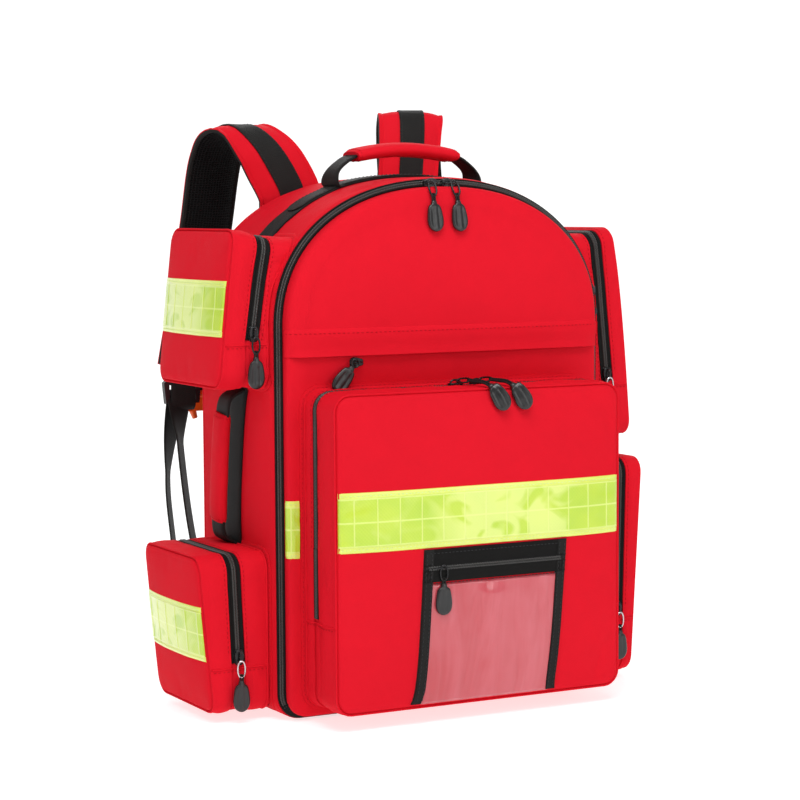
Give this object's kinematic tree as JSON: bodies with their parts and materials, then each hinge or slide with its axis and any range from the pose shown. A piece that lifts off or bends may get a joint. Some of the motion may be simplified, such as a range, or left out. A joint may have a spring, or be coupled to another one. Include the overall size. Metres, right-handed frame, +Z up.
{
  "type": "trauma backpack",
  "caption": "Box-shaped rescue backpack with clamshell lid, zipped front pocket with clear window, side pockets, reflective tape, carry handles and padded shoulder straps.",
  "frame": {"origin": "centre of the main compartment's base, on the ground plane", "axes": "+Z up, front of the bag faces -Y, +X to the right seen from the front"},
  "size_m": [0.4532, 0.3559, 0.5376],
  "materials": {
    "red_fabric": "woven polyester, matt with a slight sheen",
    "lining": "padded divider, matt",
    "reflective_tape": "fluorescent yellow-green embossed tape, glossy",
    "black_webbing": "ribbed nylon webbing, matt",
    "black_zip": "zip tape and coil, satin",
    "black_mesh": "padded spacer mesh, matt",
    "rubber_pull": "moulded grip, matt",
    "slider_metal": "black enamel, satin",
    "black_plastic": "moulded, satin",
    "clear_pvc": "clear flexible sheet over red fabric, glossy",
    "frame_plastic": "polyethylene sheet",
    "orange_plastic": "moulded, glossy"
  },
  "bodies": {
    "shell": {"main_shell": "red_fabric", "main_zip_rear_tape": "black_zip", "top_webbing": "black_webbing", "frame_sheet": "frame_plastic", "base_board": "black_plastic", "shelf_divider": "lining", "back_pad_left": "black_mesh", "back_pad_right": "black_mesh", "left_upper_pocket_base": "red_fabric", "left_lower_pocket_base": "red_fabric", "right_upper_pocket_base": "red_fabric", "right_lower_pocket_base": "red_fabric", "left_strap_webbing": "black_webbing", "right_strap_webbing": "black_webbing"},
    "lid": {"front_panel": "red_fabric", "main_zip_front_tape": "black_zip", "storm_flap": "red_fabric", "front_pocket_base": "red_fabric", "window_binding": "black_webbing", "window_sheet": "clear_pvc"},
    "front_cover": {"front_pocket_cover": "red_fabric", "front_reflective_tape": "reflective_tape"},
    "top_handle": {"top_handle_webbing": "black_webbing", "top_handle_grip": "red_fabric"},
    "side_handle": {"side_handle_strap": "black_webbing", "side_handle_grip": "red_fabric"},
    "strap_left": {"left_shoulder_strap": "red_fabric", "left_ladder_lock": "black_plastic"},
    "strap_right": {"right_shoulder_strap": "red_fabric", "right_ladder_lock": "black_plastic"},
    "sternum_left": {"sternum_strap": "black_webbing", "whistle_buckle": "orange_plastic"},
    "left_upper_cover": {"left_upper_pocket_cover": "red_fabric", "left_upper_reflective_tape": "reflective_tape"},
    "left_lower_cover": {"left_lower_pocket_cover": "red_fabric", "left_lower_reflective_tape": "reflective_tape"},
    "right_upper_cover": {"right_upper_pocket_cover": "red_fabric", "right_upper_reflective_tape": "reflective_tape"},
    "right_lower_cover": {"right_lower_pocket_cover": "red_fabric", "right_lower_reflective_tape": "reflective_tape"},
    "main_left_slider": {"main_left_zip_slider": "slider_metal"},
    "main_left_pull": {"main_left_zip_pull": "rubber_pull"},
    "main_right_slider": {"main_right_zip_slider": "slider_metal"},
    "main_right_pull": {"main_right_zip_pull": "rubber_pull"},
    "front_pocket_left_slider": {"front_pocket_left_zip_slider": "slider_metal"},
    "front_pocket_left_pull": {"front_pocket_left_zip_pull": "rubber_pull"},
    "front_pocket_right_slider": {"front_pocket_right_zip_slider": "slider_metal"},
    "front_pocket_right_pull": {"front_pocket_right_zip_pull": "rubber_pull"},
    "flap_slider": {"flap_zip_slider": "slider_metal"},
    "flap_pull": {"flap_zip_pull": "rubber_pull"},
    "window_slider": {"window_zip_slider": "slider_metal"},
    "window_pull": {"window_zip_pull": "rubber_pull"},
    "left_upper_pocket_slider": {"left_upper_pocket_zip_slider": "slider_metal"},
    "left_upper_pocket_pull": {"left_upper_pocket_zip_pull": "rubber_pull"},
    "left_lower_pocket_slider": {"left_lower_pocket_zip_slider": "slider_metal"},
    "left_lower_pocket_pull": {"left_lower_pocket_zip_pull": "rubber_pull"},
    "right_upper_pocket_slider": {"right_upper_pocket_zip_slider": "slider_metal"},
    "right_upper_pocket_pull": {"right_upper_pocket_zip_pull": "rubber_pull"},
    "right_lower_pocket_slider": {"right_lower_pocket_zip_slider": "slider_metal"},
    "right_lower_pocket_pull": {"right_lower_pocket_zip_pull": "rubber_pull"}
  },
  "joints": [
    {"name": "lid_open", "type": "hinge", "parent": "shell", "child": "lid", "pos_m": [0, -0.087, 0.0015], "axis": [1, 0, 0], "range_deg": [0, 170]},
    {"name": "front_pocket_open", "type": "hinge", "parent": "lid", "child": "front_cover", "pos_m": [0, -0.159, 0.153], "axis": [1, 0, 0], "range_deg": [0, 80]},
    {"name": "left_upper_pocket_open", "type": "hinge", "parent": "shell", "child": "left_upper_cover", "pos_m": [-0.20849, 0, 0.331], "axis": [0, -1, 0], "range_deg": [0, 75]},
    {"name": "left_lower_pocket_open", "type": "hinge", "parent": "shell", "child": "left_lower_cover", "pos_m": [-0.22205, 0, 0.051], "axis": [0, -1, 0], "range_deg": [0, 75]},
    {"name": "right_upper_pocket_open", "type": "hinge", "parent": "shell", "child": "right_upper_cover", "pos_m": [0.20441, 0, 0.282], "axis": [0, 1, 0], "range_deg": [0, 75]},
    {"name": "right_lower_pocket_open", "type": "hinge", "parent": "shell", "child": "right_lower_cover", "pos_m": [0.21421, 0, 0.06], "axis": [0, 1, 0], "range_deg": [0, 75]},
    {"name": "top_handle_swing", "type": "hinge", "parent": "shell", "child": "top_handle", "pos_m": [0, -0.015, 0.466], "axis": [1, 0, 0], "range_deg": [-38, 38]},
    {"name": "side_handle_swing", "type": "hinge", "parent": "shell", "child": "side_handle", "pos_m": [-0.1704, -0.0165, 0.216], "axis": [0, -0.1282, 0.9917], "range_deg": [-18, 18]},
    {"name": "left_strap_swing", "type": "hinge", "parent": "shell", "child": "strap_left", "pos_m": [-0.064, 0.086, 0.436], "axis": [1, 0, 0], "range_deg": [-15, 8]},
    {"name": "right_strap_swing", "type": "hinge", "parent": "shell", "child": "strap_right", "pos_m": [0.058, 0.086, 0.436], "axis": [1, 0, 0], "range_deg": [-15, 8]},
    {"name": "sternum_strap_swing", "type": "hinge", "parent": "strap_left", "child": "sternum_left", "pos_m": [-0.113, 0.177, 0.336], "axis": [1, 0, 0], "range_deg": [0, 60]},
    {"name": "main_left_zip", "type": "hinge", "parent": "lid", "child": "main_left_slider", "pos_m": [0, -0.09, 0.162], "axis": [0, -1, 0], "range_deg": [0, 10]},
    {"name": "main_left_pull_swing", "type": "hinge", "parent": "main_left_slider", "child": "main_left_pull", "pos_m": [-0.016, -0.1004, 0.462], "axis": [-1, 0, 0], "range_deg": [0, 88]},
    {"name": "main_right_zip", "type": "hinge", "parent": "lid", "child": "main_right_slider", "pos_m": [0, -0.09, 0.162], "axis": [0, 1, 0], "range_deg": [0, 10]},
    {"name": "main_right_pull_swing", "type": "hinge", "parent": "main_right_slider", "child": "main_right_pull", "pos_m": [0.008, -0.1004, 0.462], "axis": [-1, 0, 0], "range_deg": [0, 88]},
    {"name": "front_pocket_left_zip", "type": "slide", "parent": "front_cover", "child": "front_pocket_left_slider", "axis": [-1, 0, 0], "range_m": [0, 0.09]},
    {"name": "front_pocket_left_pull_swing", "type": "hinge", "parent": "front_pocket_left_slider", "child": "front_pocket_left_pull", "pos_m": [-0.005, -0.129, 0.2958], "axis": [-1, 0, 0], "range_deg": [0, 110]},
    {"name": "front_pocket_right_zip", "type": "slide", "parent": "front_cover", "child": "front_pocket_right_slider", "axis": [1, 0, 0], "range_m": [0, 0.09]},
    {"name": "front_pocket_right_pull_swing", "type": "hinge", "parent": "front_pocket_right_slider", "child": "front_pocket_right_pull", "pos_m": [0.017, -0.129, 0.2958], "axis": [-1, 0, 0], "range_deg": [0, 110]},
    {"name": "flap_zip", "type": "slide", "parent": "lid", "child": "flap_slider", "axis": [1, 0, 0], "range_m": [0, 0.19]},
    {"name": "flap_pull_swing", "type": "hinge", "parent": "flap_slider", "child": "flap_pull", "pos_m": [-0.094, -0.1058, 0.3125], "axis": [-0.7682, 0, 0.6402], "range_deg": [0, 88]},
    {"name": "window_zip", "type": "slide", "parent": "lid", "child": "window_slider", "axis": [1, 0, 0], "range_m": [0, 0.09]},
    {"name": "window_pull_swing", "type": "hinge", "parent": "window_slider", "child": "window_pull", "pos_m": [-0.043, -0.1676, 0.137], "axis": [-1, 0, 0], "range_deg": [0, 88]},
    {"name": "left_upper_zip", "type": "slide", "parent": "shell", "child": "left_upper_pocket_slider", "axis": [0.14, 0, 0.9901], "range_m": [0, 0.07]},
    {"name": "left_upper_pocket_pull_swing", "type": "hinge", "parent": "left_upper_pocket_slider", "child": "left_upper_pocket_pull", "pos_m": [-0.181, -0.0862, 0.331], "axis": [-1, 0, 0], "range_deg": [0, 88]},
    {"name": "left_lower_zip", "type": "slide", "parent": "shell", "child": "left_lower_pocket_slider", "axis": [-0.0421, 0, 0.9991], "range_m": [0, 0.066]},
    {"name": "left_lower_pocket_pull_swing", "type": "hinge", "parent": "left_lower_pocket_slider", "child": "left_lower_pocket_pull", "pos_m": [-0.188, -0.0792, 0.051], "axis": [-1, 0, 0], "range_deg": [0, 88]},
    {"name": "right_upper_zip", "type": "slide", "parent": "shell", "child": "right_upper_pocket_slider", "axis": [-0.0942, 0, 0.9956], "range_m": [0, 0.119]},
    {"name": "right_upper_pocket_pull_swing", "type": "hinge", "parent": "right_upper_pocket_slider", "child": "right_upper_pocket_pull", "pos_m": [0.181, -0.0842, 0.282], "axis": [-1, 0, 0], "range_deg": [0, 88]},
    {"name": "right_lower_zip", "type": "slide", "parent": "shell", "child": "right_lower_pocket_slider", "axis": [0.027, 0, 0.9996], "range_m": [0, 0.119]},
    {"name": "right_lower_pocket_pull_swing", "type": "hinge", "parent": "right_lower_pocket_slider", "child": "right_lower_pocket_pull", "pos_m": [0.188, -0.0812, 0.06], "axis": [-1, 0, 0], "range_deg": [0, 88]}
  ]
}
